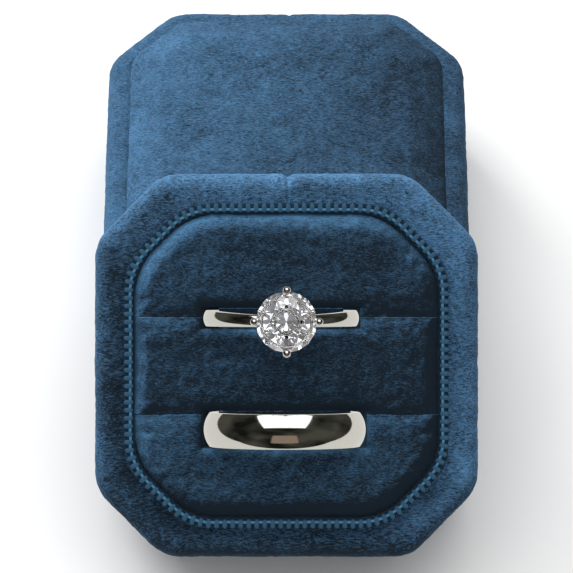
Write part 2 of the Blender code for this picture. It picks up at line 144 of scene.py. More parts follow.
def place_of(node, normal):
    """Matrix of a piece's own frame: underside centre at the origin, +Z along normal."""
    turn = Matrix.Rotation(math.atan2(-normal.y, normal.z), 4, "X")
    low, high = turned_box(node, turn.inverted())
    centre = Vector(((low.x + high.x) / 2, (low.y + high.y) / 2, low.z))
    return Matrix.Translation(turn @ centre) @ turn


def joint_axis(child):
    return Vector(next(j["axis"] for j in frame["joints"] if j["child"] == child))


BASE = place_of("base_velvet_wrap", joint_axis("band"))
LID = place_of("lid_velvet_wrap", Vector((0, 0, 1)))


def base_box(node):
    return turned_box(node, BASE.inverted())


def lid_box(node):
    return turned_box(node, LID.inverted())


def chamfer_of(node, place):
    """Leg of the node's chamfered corners, from how far its outline reaches diagonally."""
    back = place.inverted()
    points = [back @ v.co for v in frame["nodes"][node].data.vertices]
    reach = max(abs(p.x) + abs(p.y) for p in points)
    return max(p.x for p in points) + max(p.y for p in points) - reach


# ---------------------------------------------------------------- outlines and sweeps
SIDE_STEPS = 84
CHAMFER_STEPS = 24
CORNER_STEPS = 8
CENTRE_CROWDING = 0.62


def track_of(half, chamfer, corner):
    """Points and outward normals round a rounded octagon, closer together mid-side."""
    corners = []
    for sx, sy in ((1, 1), (-1, 1), (-1, -1), (1, -1)):
        pair = [
            Vector((sx * half.x, sy * (half.y - chamfer))),
            Vector((sx * (half.x - chamfer), sy * half.y)),
        ]
        corners += pair if sx * sy > 0 else pair[::-1]
    eighth = math.radians(45)
    tangent = corner * math.tan(eighth / 2)
    track = []
    for i, here in enumerate(corners):
        ahead = corners[(i + 1) % 8]
        back_way = (corners[i - 1] - here).normalized()
        way = (ahead - here).normalized()
        middle = (back_way + way).normalized()
        centre = here + middle * (corner / math.cos(eighth / 2))
        start = here + back_way * tangent - centre
        for step in range(CORNER_STEPS):
            out = Matrix.Rotation(eighth * step / CORNER_STEPS, 2) @ start
            track.append((centre + out, out.normalized()))
        steps = CHAMFER_STEPS if i % 2 == 0 else SIDE_STEPS
        crowding = 0.0 if i % 2 == 0 else CENTRE_CROWDING
        first = here + way * tangent
        last = ahead - way * tangent
        normal = Vector((way.y, -way.x))
        for step in range(steps):
            t = 2 * step / steps - 1
            t = (1 - crowding) * t + crowding * t**3
            track.append((first.lerp(last, (t + 1) / 2), normal))
    return track


def line(start, end, spacing):
    """Evenly spaced profile points after start, up to end."""
    start = Vector(start)
    end = Vector(end)
    steps = max(1, round((end - start).length / spacing))
    return [start.lerp(end, (k + 1) / steps) for k in range(steps)]


def arc(centre, radius, start, end, steps=7):
    found = []
    for k in range(steps + 1):
        angle = math.radians(start + (end - start) * k / steps)
        found.append(Vector((centre[0] + radius * math.cos(angle), centre[1] + radius * math.sin(angle))))
    return found


def on_wall(points):
    """Profile points that keep to the outer track."""
    return [Vector((p.x, p.y, 0)) for p in points]


def only(geometry, kind):
    return [g for g in geometry if isinstance(g, kind)]


def extrude_rim(bm, edges):
    """Extrudes a rim where it lies, and gives its new edges and vertices."""
    made = bmesh.ops.extrude_edge_only(bm, edges=edges)["geom"]
    return only(made, bmesh.types.BMEdge), only(made, bmesh.types.BMVert)


def cut(bm, way, reach, clear=False):
    """Splits the faces along a plane, and with clear removes what lies beyond it."""
    bmesh.ops.bisect_plane(
        bm,
        geom=bm.verts[:] + bm.edges[:] + bm.faces[:],
        plane_co=Vector(way) * reach,
        plane_no=way,
        clear_outer=clear,
        dist=1e-6,
    )


def sweep(outer, profile, inner=None, tuck=0.0):
    """Extrudes a ring of edges along a profile: how far in from the outer track, and how high.

    Its third coordinate leads over to the inner track, and tuck takes it further in."""

    def place_at(index, spot):
        place, normal = outer[index]
        here = place - normal * spot.x
        if spot.z:
            there, out = inner[index]
            here = here.lerp(there - out * tuck, spot.z)
        return Vector((here.x, here.y, spot.y))

    bm = bmesh.new()
    key = bm.verts.layers.int.new("track")
    ring = bmesh.ops.create_circle(bm, cap_ends=False, segments=len(outer), radius=1.0)["verts"]
    for index, vert in enumerate(ring):
        vert[key] = index
        vert.co = place_at(index, profile[0])
    edges = bm.edges[:]
    for spot in profile[1:]:
        edges, verts = extrude_rim(bm, edges)
        for vert in verts:
            vert.co = place_at(vert[key], spot)
    bmesh.ops.recalc_face_normals(bm, faces=bm.faces)
    return bm


def paint_side_shade(bm, track, way):
    """Stores painted light and shade: how far each place's outward side faces the given way, so sides
    turned that way are painted lighter and the others darker.
    """
    key = bm.verts.layers.int["track"]
    nap = bm.verts.layers.float.new("nap")
    for vert in bm.verts:
        vert[nap] = track[vert[key]][1].dot(way)


def outward(bm):
    """Turns an open sleeve's faces away from its middle."""
    bm.normal_update()
    facing = sum(
        f.normal.dot(Vector((f.calc_center_median().x, f.calc_center_median().y, 0))) * f.calc_area()
        for f in bm.faces
        if abs(f.normal.z) < 0.5
    )
    if facing < 0:
        bmesh.ops.reverse_faces(bm, faces=bm.faces)


def ruffle(bm, amount, wave, seed):
    """Moves every vertex along its normal by smooth noise of the given height and wavelength."""
    bm.normal_update()
    shift = Vector((seed * 7.3, seed * 3.1, seed * 5.7))
    moves = [v.normal * amount * noise.noise(v.co / wave + shift) for v in bm.verts]
    for vert, move in zip(bm.verts, moves):
        vert.co += move


def pile_relief(bm, seed):
    """Slow waves in the cloth, then the clumps of its pile."""
    s = sizes()
    ruffle(bm, s.sag, 7 * MM, seed)
    ruffle(bm, s.pile, 1.1 * MM, seed + 1)
    ruffle(bm, 0.6 * s.pile, 0.5 * MM, seed + 2)


def piece(bm, name, place, material, smooth=True):
    """Makes the object with its place in its mesh and its origin at the world's."""
    bm.transform(place)
    mesh = bpy.data.meshes.new(name)
    bm.to_mesh(mesh)
    bm.free()
    mesh.polygons.foreach_set("use_smooth", [smooth] * len(mesh.polygons))
    mesh.materials.append(material)
    made = bpy.data.objects.new(name, mesh)
    made.visible_glossy = material.name in REFLECTED
    bpy.context.scene.collection.objects.link(made)
    return made


def thicken(made, thickness):
    modifier = made.modifiers.new("thickness", "SOLIDIFY")
    modifier.thickness = thickness
    modifier.offset = -1.0


# ---------------------------------------------------------------- shaders
# Polished metal shows the studio, the glowing cards that paint its reflections and other polished pieces,
# and leaves out the dull ones.
REFLECTED = ("white_metal", "clear_stone", "floor_reflection_card", "warm_reflection_card")


class Value:
    """A shader socket with arithmetic: each sum adds its own Math node."""

    def __init__(self, net, socket):
        self.net = net
        self.socket = socket

    def __add__(self, other):
        return self.net.math("ADD", self, other)

    def __sub__(self, other):
        return self.net.math("SUBTRACT", self, other)

    def __mul__(self, other):
        return self.net.math("MULTIPLY", self, other)

    def __rsub__(self, other):
        return self.net.math("SUBTRACT", other, self)

    __radd__ = __add__
    __rmul__ = __mul__

    def clamped(self, low=0.0, high=1.0):
        return self.net.node("ShaderNodeClamp", {}, {"Value": self, "Min": low, "Max": high})


class Net:
    """A material's node tree."""

    def __init__(self, name):
        self.material = bpy.data.materials.new(name)
        self.material.use_nodes = True
        self.tree = self.material.node_tree
        self.shader = self.tree.nodes["Principled BSDF"]

    def node(self, kind, settings, inputs, output=0):
        made = self.tree.nodes.new(kind)
        for name, value in settings.items():
            if name == "stops":
                ramp = made.color_ramp
                while len(ramp.elements) < len(value):
                    ramp.elements.new(0.5)
                for element, (spot, tone) in zip(ramp.elements, value):
                    element.position = spot
                    element.color = tone
            else:
                setattr(made, name, value)
        for name, value in inputs.items():
            socket = made.inputs[name]
            if isinstance(value, Value):
                self.tree.links.new(value.socket, socket)
            else:
                socket.default_value = value
        return Value(self, made.outputs[output])

    def math(self, operation, first, second):
        return self.node("ShaderNodeMath", {"operation": operation}, {0: first, 1: second})

    def mix(self, factor, first, second):
        tones = [t if isinstance(t, Value) else (*t, 1.0) for t in (first, second)]
        return self.node(
            "ShaderNodeMix", {"data_type": "RGBA"}, {0: factor, 6: tones[0], 7: tones[1]}, 2
        )

    def coords(self):
        return self.node("ShaderNodeTexCoord", {}, {}, "Object")

    def millimetres(self):
        return self.turned(self.coords(), (0, 0, 0), (1 / MM, 1 / MM, 1 / MM))

    def bump(self, height, strength, distance):
        sockets = {"Strength": strength, "Distance": distance, "Height": height}
        return self.node("ShaderNodeBump", {}, sockets)

    def dot(self, first, second):
        sockets = {0: first, 1: second}
        return self.node("ShaderNodeVectorMath", {"operation": "DOT_PRODUCT"}, sockets, "Value")

    def turned(self, vector, rotation, scale):
        return self.node(
            "ShaderNodeMapping", {}, {"Vector": vector, "Rotation": rotation, "Scale": scale}
        )

    def noise(self, vector, scale, detail=2.0, rough=0.5, output=0):
        return self.node(
            "ShaderNodeTexNoise",
            {},
            {"Vector": vector, "Scale": scale, "Detail": detail, "Roughness": rough},
            output,
        )

    def set(self, **sockets):
        for name, value in sockets.items():
            socket = self.shader.inputs[name.replace("_", " ")]
            if isinstance(value, Value):
                self.tree.links.new(value.socket, socket)
            else:
                socket.default_value = value


class Sky(Net):
    """The world's node tree."""

    def __init__(self, name):
        self.world = bpy.data.worlds.new(name)
        self.world.use_nodes = True
        self.tree = self.world.node_tree
        self.shader = self.tree.nodes["Background"]

    def ray(self, kind):
        return self.node("ShaderNodeLightPath", {}, {}, kind)


# How far past its light tone the velvet's brightest tone goes, leaving room for painted highlights.
BRIGHTEST = 1.6


def velvet(
    name, dark, light, tilt, lean, level, painted_light_slope=(0.0, 0.0, 0.0), nap=0.0, sheen=0.25, mottle=1.0,
    coarse=1.0,
):
    """Short-pile velvet: fine wisps and brushed patches on a tone with painted light and shade, lighter
    where faces turn towards lean, along a painted slope and by painted side shading.
    """
    net = Net(name)
    c = colours()
    fine = 1.0 / (coarse * MM)
    here = net.turned(net.coords(), (-tilt, 0.0, 0.0), (fine, fine, fine))
    drift = net.node(
        "ShaderNodeVectorMath",
        {"operation": "MULTIPLY_ADD"},
        {0: net.noise(here, 0.16, 2.0, 0.5, "Color"), 1: (2.6, 2.6, 2.6), 2: here},
    )
    wisps = net.noise(net.turned(drift, (0, 0, 0.12), (1.7, 6.5, 5.0)), 1.0, 3.0, 0.7)
    cross = net.noise(net.turned(drift, (0, 0, 1.0), (2.0, 6.0, 5.0)), 1.0, 2.0, 0.65)
    grain = net.noise(here, 6.5, 2.0, 0.7)
    patches = net.noise(drift, 0.17, 3.0, 0.55)
    clumps = net.noise(drift, 0.62, 2.0, 0.5)
    # Painted light and shade: faces turned towards lean are painted lighter, faces turned away darker.
    facing = net.dot(net.node("ShaderNodeTexCoord", {}, {}, "Normal"), lean)
    # Painted slope of light across the piece.
    across = net.dot(here, tuple(coarse * g for g in painted_light_slope))
    # Painted side shading, stored on the mesh as an attribute.
    painted_side_shade_map = net.node("ShaderNodeAttribute", {"attribute_name": "nap"}, {}, "Fac")
    stray = (wisps - 0.5) * 1.9 + (cross - 0.5) * 0.8 + (grain - 0.5) * 0.9
    stray = stray + (patches - 0.5) * 0.6 + (clumps - 0.5) * 0.45
    # The tone before its texture: the piece's level plus its painted light and shade.
    painted_light_and_tone = facing + across + painted_side_shade_map * nap + level
    tone = painted_light_and_tone + stray * (painted_light_and_tone * 0.8 + 0.75) * mottle
    tone = tone.clamped(0.0, BRIGHTEST) * (1.0 / BRIGHTEST)
    brightest = tuple(d + (l - d) * BRIGHTEST for d, l in zip(dark, light))
    height = wisps * 0.6 + cross * 0.3 + grain * 0.4 + clumps * 0.5
    bump = net.bump(height, 0.5, 0.2 * MM)
    net.set(
        Base_Color=net.mix(tone, tuple(dark), brightest),
        Roughness=0.9,
        Normal=bump,
        Sheen_Weight=sheen,
        Sheen_Roughness=0.4,
        Sheen_Tint=(*c.sheen, 1.0),
        Specular_IOR_Level=0.05,
    )
    return net.material


def metal_material():
    net = Net("white_metal")
    here = net.millimetres()
    wear = net.noise(here, 1.6, 4.0, 0.6)
    hairlines = net.noise(net.turned(here, (0.3, 0.2, 0.5), (0.6, 9.0, 3.0)), 1.0, 3.0, 0.6)
    bump = net.bump(hairlines, 0.03, 0.02 * MM)
    tint = net.mix(wear, colours().metal, tuple(0.94 * v for v in colours().metal))
    net.set(Base_Color=tint, Metallic=1.0, Roughness=wear * 0.06 + 0.05, Normal=bump)
    return net.material


def stone_material():
    net = Net("clear_stone")
    here = net.millimetres()
    cloud = net.noise(here, 0.4, 2.0)
    tint = net.mix(cloud, colours().stone, (0.93, 0.95, 1.0))
    net.set(Base_Color=tint, Roughness=0.0, IOR=2.42, Transmission_Weight=1.0)
    return net.material


def grainy_material(name, tone, wave, roughness):
    """Plain stuff for what is hidden inside: board fibres or foam cells."""
    net = Net(name)
    here = net.millimetres()
    fibre = net.noise(here, wave, 4.0, 0.65)
    bump = net.bump(fibre, 0.5, 0.2 * MM)
    darker = tuple(0.7 * v for v in tone)
    net.set(Base_Color=net.mix(fibre, darker, tone), Roughness=roughness, Normal=bump)
    return net.material


def ribbon_material(name, tone, lighter):
    net = Net(name)
    here = net.millimetres()
    yarn = net.noise(here, 3.5, 3.0, 0.6)
    bump = net.bump(yarn, 0.5, 0.1 * MM)
    net.set(
        Base_Color=net.mix((yarn * 1.6 - 0.3).clamped(), tone, lighter),
        Roughness=0.7,
        Normal=bump,
        Specular_IOR_Level=0.1,
    )
    return net.material


BASE_TILT = math.atan2(-joint_axis("band").y, joint_axis("band").z)


# ---------------------------------------------------------------- velvet round the walls
def half_of(box):
    return Vector(((box[1].x - box[0].x) / 2, (box[1].y - box[0].y) / 2))


def notch(bm, beside, height, depth, width):
    """The butt joint of the wrapped strip: a nick in the edge and a fine seam inwards."""
    bm.normal_update()
    outer = max(vert.co.y for vert in bm.verts)
    for vert in bm.verts:
        if vert.co.y < 0 or vert.co.z < height:
            continue
        edge = max(0.0, 1 - (outer - vert.co.y) / (2 * MM))
        off = (vert.co.x - beside) / (width * (0.35 + 0.65 * edge))
        vert.co -= vert.normal * depth * (0.25 + 0.75 * edge) * math.exp(-off * off)


def base_wrap():
    s = sizes()
    outer = base_box("base_velvet_wrap")
    under = base_box("base_underside_cover")
    panel = base_box("collar_board")
    height = outer[1].z
    box = track_of(half_of(outer), chamfer_of("base_velvet_wrap", BASE), s.box_corner)
    inner = track_of(half_of(panel), chamfer_of("collar_board", BASE), s.panel_corner)
    flap = half_of(outer).x - half_of(under).x - 0.3 * MM
    ledge = s.base_edge
    ring = arc((s.foot_edge, s.foot_edge), s.foot_edge, 270, 180, 5)
    top = arc((ledge, height - ledge), ledge, 180, 90, 8)
    profile = [Vector((flap, 0, 0))]
    profile += on_wall(line((flap, 0), ring[0], 1.0 * MM) + ring[1:])
    profile += on_wall(line(ring[-1], top[0], 0.5 * MM) + top[1:])
    profile += [Vector((ledge, height, k / 7)) for k in range(1, 8)]
    profile += [Vector((ledge, height - 0.4 * MM * k, 1.0)) for k in (1, 2)]
    bm = sweep(box, profile, inner, 0.15 * MM)
    outward(bm)
    # Painted side shading: the right and far sides lighter, the left and near sides darker.
    paint_side_shade(bm, box, Vector((0.80, 0.48)))
    pile_relief(bm, 1)
    notch(bm, 0.2 * MM, 2 * MM, 0.5 * MM, 0.6 * MM)
    c = colours()
    # Painted light and shade: faces turned left, far and up painted lighter, with the painted side
    # shading added on top.
    cloth = velvet(
        "base_velvet", c.velvet_dark, c.velvet_light, BASE_TILT, (-0.40, 0.42, 0.22), 0.50,
        nap=0.38, mottle=1.25, coarse=1.25,
    )
    made = piece(bm, "base_velvet", BASE, cloth)
    thicken(made, s.cloth)
    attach(made, "base")
    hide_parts("base_velvet_wrap")


def lid_wrap():
    s = sizes()
    outer = lid_box("lid_velvet_wrap")
    lining = lid_box("lid_wall_lining")
    height = outer[1].z
    box = track_of(half_of(outer), chamfer_of("lid_velvet_wrap", LID), s.box_corner)
    inner = track_of(
        half_of(lining) - Vector((0.6, 0.6)) * MM, chamfer_of("lid_wall_lining", LID), s.panel_corner
    )
    rim = 0.8 * MM
    edge = s.lid_edge
    foot = arc((rim, rim), rim, 270, 180, 5)
    shoulder = arc((edge, height - edge), edge, 180, 80, 12)
    roll = arc((s.roll_width - 1.3 * MM, height - 1.9 * MM), 1.9 * MM, 85, 35, 6)
    profile = [Vector((rim, 0, 1 - k / 5)) for k in range(5)]
    profile += on_wall(foot + line(foot[-1], shoulder[0], 0.5 * MM) + shoulder[1:])
    profile += on_wall(line(shoulder[-1], roll[0], 0.4 * MM) + roll[1:])
    bm = sweep(box, profile, inner)
    outward(bm)
    # Painted side shading: the left and far sides lighter, the right and near sides darker.
    paint_side_shade(bm, box, Vector((-0.5, 0.3)))
    pile_relief(bm, 11)
    notch(bm, 0.4 * MM, 1 * MM, 0.25 * MM, 0.5 * MM)
    for vert in bm.verts:
        vert.co.z = max(vert.co.z, 0.0)
    c = colours()
    # Painted light and shade: faces turned left, near and up a little lighter, on a painted slope lighter
    # to the left, with the painted side shading added.
    cloth = velvet(
        "lid_velvet", c.velvet_dark, c.velvet_light, 0.0, (-0.1, -0.05, 0.10), 0.42,
        (-0.004, 0.0, 0.0), nap=0.2,
    )
    made = piece(bm, "lid_velvet", LID, cloth)
    thicken(made, s.cloth)
    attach(made, "lid")
    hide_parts("lid_velvet_wrap")


# ---------------------------------------------------------------- padded pieces
def edge_drop(inside, radius, fall=None):
    """How far an edge lies below its top at a distance inside its outline.

    It is a quarter round, or with fall a long soft slope that ends that far down."""
    if inside >= radius:
        return 0.0
    short = radius - max(inside, 0.0)
    if fall is not None:
        return fall * (short / radius) ** 2
    return radius - math.sqrt(max(radius * radius - short * short, 0.0))


class Edge:
    """A straight limit of a pad: its outward way, its distance and its rounding radius."""

    def __init__(self, way, reach, radius):
        self.way = Vector((way[0], way[1], 0))
        self.reach = reach
        self.radius = radius

    def inside(self, place):
        return self.reach - self.way.dot(place)


def outline_edges(half, chamfer, corner, radius):
    """The limits of a rounded octagon: its sides, its chamfers and three cuts per corner."""
    eighth = math.radians(45)
    sides = []
    for k in range(8):
        way = Vector((math.cos(k * eighth), math.sin(k * eighth)))
        straight = half.x if k % 4 == 0 else half.y
        reach = (half.x + half.y - chamfer) / math.sqrt(2) if k % 2 else straight
        sides.append((way, reach))
    edges = [Edge(way, reach, radius) for way, reach in sides]
    for k, (way, reach) in enumerate(sides):
        after, beyond = sides[(k + 1) % 8]
        middle = (way + after).normalized()
        lean = (beyond - reach) / (2 * math.sin(eighth / 2))
        point = middle * (reach + beyond) / (2 * math.cos(eighth / 2))
        point += Vector((-middle.y, middle.x)) * lean
        centre = point - middle * corner / math.cos(eighth / 2)
        for part in (0.25, 0.5, 0.75):
            turned = Matrix.Rotation(eighth * part, 2) @ way
            edges.append(Edge(turned, turned.dot(centre) + corner, radius))
    return edges


# Rows down a pad's side, each as its part of the way left to the bottom.
SIDE_ROWS = (0.1, 0.15, 0.3, 0.5, 1.0)


def soft_block(edges, ends, bottom, top, spacing, fall=None):
    """A closed block: a fine grid cut to shape, its edges rounded, its sides drawn down.

    edges limit its outline and ends, if given, are the two slots it lies between."""
    bm = bmesh.new()
    east = max(e.reach for e in edges if e.way.x > 0.99)
    north = min([e.reach for e in edges + ends if e.way.y > 0.99])
    south = min([e.reach for e in edges + ends if e.way.y < -0.99])
    columns = round(2 * east / spacing)
    rows = round((north + south) / spacing)
    bmesh.ops.create_grid(bm, x_segments=columns, y_segments=rows, size=1.0)
    for vert in bm.verts:
        across, along = (1.4 * t - 0.4 * t**3 for t in (vert.co.x, vert.co.y))
        vert.co.x = across * east
        vert.co.y = (north - south) / 2 + along * (north + south) / 2
    for edge in edges:
        cut(bm, edge.way, edge.reach, clear=True)
    for vert in bm.verts:
        side = edge_drop(min(e.inside(vert.co) for e in edges), edges[0].radius, fall)
        depth = sizes().lip_depth
        lip = max([edge_drop(e.inside(vert.co), e.radius, depth) for e in ends] or [0.0])
        vert.co.z = top - max(side, lip) - 0.35 * min(side, lip)
    rim = [e for e in bm.edges if e.is_boundary]
    for way_left in SIDE_ROWS:
        rim, verts = extrude_rim(bm, rim)
        for vert in verts:
            vert.co.z += (bottom - vert.co.z) * way_left
    bmesh.ops.edgeloop_fill(bm, edges=rim)
    bmesh.ops.recalc_face_normals(bm, faces=bm.faces)
    return bm


SIM_SCALE = 25.0
SIM_FRAMES = 20
SIM_PRESSURE = 4.0
PRESSED = 3.0 * MM


def puff_up(bm, top, free_depth, most, ends):
    """Inflates the block's top by a cloth simulation, at a size that the solver suits.

    Its sides are held, and it swells less where it presses against a neighbour."""
    bm.verts.index_update()
    mesh = bpy.data.meshes.new("cloth_trial")
    bm.to_mesh(mesh)
    trial = bpy.data.objects.new("cloth_trial", mesh)
    bpy.context.scene.collection.objects.link(trial)
    mesh.transform(Matrix.Scale(SIM_SCALE, 4))
    pinned = trial.vertex_groups.new(name="held")
    held = [v.index for v in bm.verts if v.co.z < top - free_depth]
    pinned.add(held, 1.0, "REPLACE")
    cloth = trial.modifiers.new("cloth", "CLOTH")
    cloth.settings.vertex_group_mass = "held"
    cloth.settings.use_pressure = True
    cloth.settings.uniform_pressure_force = SIM_PRESSURE
    cloth.settings.effector_weights.gravity = 0.0
    cloth.settings.quality = 5
    scene = bpy.context.scene
    for step in range(1, SIM_FRAMES + 1):
        scene.frame_set(step)
    graph = bpy.context.evaluated_depsgraph_get()
    settled = trial.evaluated_get(graph).to_mesh()
    for vert in bm.verts:
        move = settled.vertices[vert.index].co / SIM_SCALE - vert.co
        if move.length > most:
            move = move.normalized() * most
        freedom = min([1.0] + [max(e.inside(vert.co), 0.0) / PRESSED for e in ends])
        vert.co += move * freedom
    trial.evaluated_get(graph).to_mesh_clear()
    bpy.data.objects.remove(trial)
    bpy.data.meshes.remove(mesh)
    scene.frame_set(1)


def refine(bm):
    """Splits every face once, rounding as it goes."""
    bmesh.ops.subdivide_edges(bm, edges=bm.edges[:], cuts=1, smooth=0.6, use_grid_fill=True)


class Pocket:
    """The space that a ring's lower half fills in a pad, in the base's frame."""

    def __init__(self, node, aside, growth, wall):
        low, high = base_box(node)
        gap = sizes().ring_gap + growth
        self.aside = aside
        self.radius = (high.x - low.x) / 2 + gap
        self.bore = (high.x - low.x) / 2 - wall - 0.25 * MM
        self.near = low.y - gap
        self.far = high.y + gap
        self.axis = high.z + gap - self.radius

    def floor(self, x):
        short = max(self.radius**2 - (x - self.aside) ** 2, 0.0)
        return self.axis - math.sqrt(short)

    def away(self, place):
        """How far a place lies outside the pocket, seen from above."""
        across = max(abs(place.x - self.aside) - self.radius, 0.0)
        along = max(self.near - place.y, place.y - self.far, 0.0)
        return math.hypot(across, along)


TRIM_WIDTH = 1.4 * MM
BAND_WALL = 1.75 * MM
BAND_EXTRA = 0.12 * MM
HOOP_WALL = 1.6 * MM
HOOP_EXTRA = 0.36 * MM
WALL = 0.06 * MM
PRESS = 1.1 * MM
PRESS_DEPTH = 0.42 * MM
TONGUE_DROP = 0.32 * MM
TONGUE_THICKNESS = 1.0 * MM


def sink(bm, pocket, bottom, top):
    """Presses a ring's pocket into a pad and leaves a tongue of velvet inside the ring."""
    for side in (-1, 1):
        cut(bm, (side, 0, 0), pocket.bore + side * pocket.aside)
        for shift in (0.0, WALL):
            cut(bm, (side, 0, 0), pocket.radius + side * pocket.aside + shift)
    for shift in (0.0, WALL):
        cut(bm, (0, 1, 0), pocket.far + shift)
        cut(bm, (0, -1, 0), shift - pocket.near)
    bm.normal_update()
    inside = []
    for face in bm.faces:
        middle = face.calc_center_median()
        across = abs(middle.x - pocket.aside) < pocket.bore
        if across and pocket.away(middle) < 0.5 * WALL and face.normal.z > 0.5:
            inside.append(face)
    copied = bmesh.ops.duplicate(bm, geom=inside)["geom"]
    tongue = only(copied, bmesh.types.BMFace)
    kept = {v for f in tongue for v in f.verts}
    for vert in bm.verts:
        away = pocket.away(vert.co)
        if vert in kept:
            vert.co.z -= TONGUE_DROP
        elif away < 0.5 * WALL:
            squeezed = (pocket.floor(vert.co.x) - bottom) / (top - bottom)
            vert.co.z = bottom + (vert.co.z - bottom) * squeezed
        elif vert.co.z > top - 3 * MM:
            vert.co.z -= edge_drop(away, PRESS, PRESS_DEPTH)
    made = bmesh.ops.extrude_face_region(bm, geom=tongue, use_keep_orig=True)["geom"]
    for vert in only(made, bmesh.types.BMVert):
        vert.co.z -= TONGUE_THICKNESS
    shell = {f for v in kept for f in v.link_faces}
    shell |= set(only(made, bmesh.types.BMFace))
    bmesh.ops.recalc_face_normals(bm, faces=list(shell))


def pads():
    s = sizes()
    c = colours()
    panel = base_box("collar_board")
    inset = TRIM_WIDTH - s.pad_overlap
    narrower = chamfer_of("collar_board", BASE) - (2 - math.sqrt(2)) * inset
    half = half_of(panel) - Vector((inset, inset))
    outline = outline_edges(half, narrower, s.pad_corner, s.pad_edge)
    band = Pocket("wedding_band", s.band_aside, BAND_EXTRA, BAND_WALL)
    shank = Pocket("solitaire_shank", s.hoop_aside, HOOP_EXTRA, HOOP_WALL)
    upper = base_box("pad_upper_cover")
    middle = base_box("pad_middle_cover")
    lower = base_box("pad_lower_cover")
    upper_slot = (upper[0].y + middle[1].y) / 2
    lower_slot = (middle[0].y + lower[1].y) / 2
    back = s.slot_gap / 2
    top = upper[1].z + s.pad_swell
    bottom = upper[0].z - 0.2 * MM
    plan = {
        "upper": ([Edge((0, -1), -upper_slot - back, s.lip_edge)], (shank,)),
        "middle": (
            [Edge((0, 1), upper_slot - back, s.lip_edge),
             Edge((0, -1), -lower_slot - back, s.lip_edge)],
            (shank, band),
        ),
        "lower": ([Edge((0, 1), lower_slot - back, s.lip_edge)], (band,)),
    }
    for index, (name, (slots, rings)) in enumerate(plan.items()):
        bm = soft_block(outline, slots, bottom, top, 0.62 * MM)
        puff_up(bm, top, 2.6 * MM, s.puff, slots)
        refine(bm)
        pile_relief(bm, 21 + 5 * index)
        for pocket in rings:
            sink(bm, pocket, bottom, top)
        level = {"upper": 0.14, "middle": 0.12, "lower": 0.24}[name]
        # Painted light and shade: edges turned left and far painted lighter, those turned right and near
        # darker, on a painted slope lighter to the left and far side.
        cloth = velvet(
            f"pad_{name}_velvet", c.pad_dark, c.pad_light, BASE_TILT, (-0.58, 0.80, 0.52), level,
            (-0.0025, 0.003, 0.0), sheen=0.12, mottle=0.92,
        )
        made = piece(bm, f"pad_{name}", BASE, cloth)
        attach(made, "base")
        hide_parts(f"pad_{name}_cover")


def lid_pad():
    s = sizes()
    c = colours()
    low, high = lid_box("lid_top_cover")
    grow = 0.6 * MM
    half = half_of((low, high)) + Vector((grow, grow))
    outline = outline_edges(half, chamfer_of("lid_top_cover", LID), s.lid_pad_corner, s.lid_pad_edge)
    for edge in outline:
        edge.reach += s.lid_pad_far * max(edge.way.y, 0.0)
    bm = soft_block(outline, [], low.z, high.z, 0.75 * MM, s.lid_pad_fall)
    puff_up(bm, high.z, 1.4 * MM, s.puff, [])
    refine(bm)
    pile_relief(bm, 41)
    # Painted light and shade: faces turned left, far and up lighter, on a strong painted slope from a
    # light left to a dark right.
    cloth = velvet(
        "lid_top_velvet", c.velvet_dark, c.velvet_light, 0.0, (-0.3, 0.1, 0.10), 0.31,
        (-0.013, 0.002, 0.0), coarse=1.1,
    )
    made = piece(bm, "lid_top_pad", LID, cloth)
    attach(made, "lid")
    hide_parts("lid_top_cover")


# ---------------------------------------------------------------- trim
RUNG_SHIFT = 0.12 * MM


def trim():
    """Ladder ribbon on the collar: a domed ribbon, rungs across it and a thread along it."""
    s = sizes()
    c = colours()
    low, high = base_box("collar_trim")
    panel = base_box("collar_board")
    track = track_of(half_of(panel), chamfer_of("collar_board", BASE), s.panel_corner)
    half = TRIM_WIDTH / 2
    crown = high.z
    profile = [Vector((2 * half, low.z)), Vector((0.0, low.z))]
    profile += [
        Vector((half - half * math.cos(a), low.z + (crown - low.z) * (0.45 + 0.4 * math.sin(a))))
        for a in [math.pi * k / 8 for k in range(9)]
    ]
    bm = sweep(track, on_wall(profile))
    rims = [e for e in bm.edges if e.is_boundary]
    bmesh.ops.bridge_loops(bm, edges=rims)
    bmesh.ops.recalc_face_normals(bm, faces=bm.faces)
    ribbon = piece(
        bm, "trim_ribbon", BASE, ribbon_material("ribbon_ground", c.ribbon, c.weft)
    )
    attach(ribbon, "base")
    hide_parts("collar_trim")

    spots = along(track, half, s.rung_pitch)
    rungs = bmesh.new()
    threads = bmesh.new()
    for number, (place, way, normal) in enumerate(spots):
        turn = Matrix((
            (way.x, normal.x, 0, place.x),
            (way.y, normal.y, 0, place.y),
            (0, 0, 1, crown - 0.12 * MM),
            (0, 0, 0, 1),
        ))
        wobble = noise.noise(Vector((number * 0.7, 3.0, 0.0)))
        outwards = Matrix.Translation((0, RUNG_SHIFT, 0))
        reach = (half - RUNG_SHIFT) * (1.08 + 0.08 * wobble)
        add_bead(rungs, turn @ outwards @ Matrix.Diagonal((s.rung_width / 2, reach, 0.16 * MM, 1)))
        step = Matrix.Translation((s.rung_pitch / 2, 0.1 * MM * wobble - RUNG_SHIFT, 0.03 * MM))
        dash = Matrix.Diagonal((0.30 * s.rung_pitch, s.stitch, 0.6 * s.stitch, 1))
        add_bead(threads, turn @ step @ dash)
    for mesh, name, tones in (
        (rungs, "trim_rungs", (c.rung, tuple(1.5 * v for v in c.rung))),
        (threads, "trim_thread", (c.thread, tuple(1.5 * v for v in c.thread))),
    ):
        made = piece(mesh, name, BASE, ribbon_material(name + "_yarn", *tones))
        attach(made, "base")


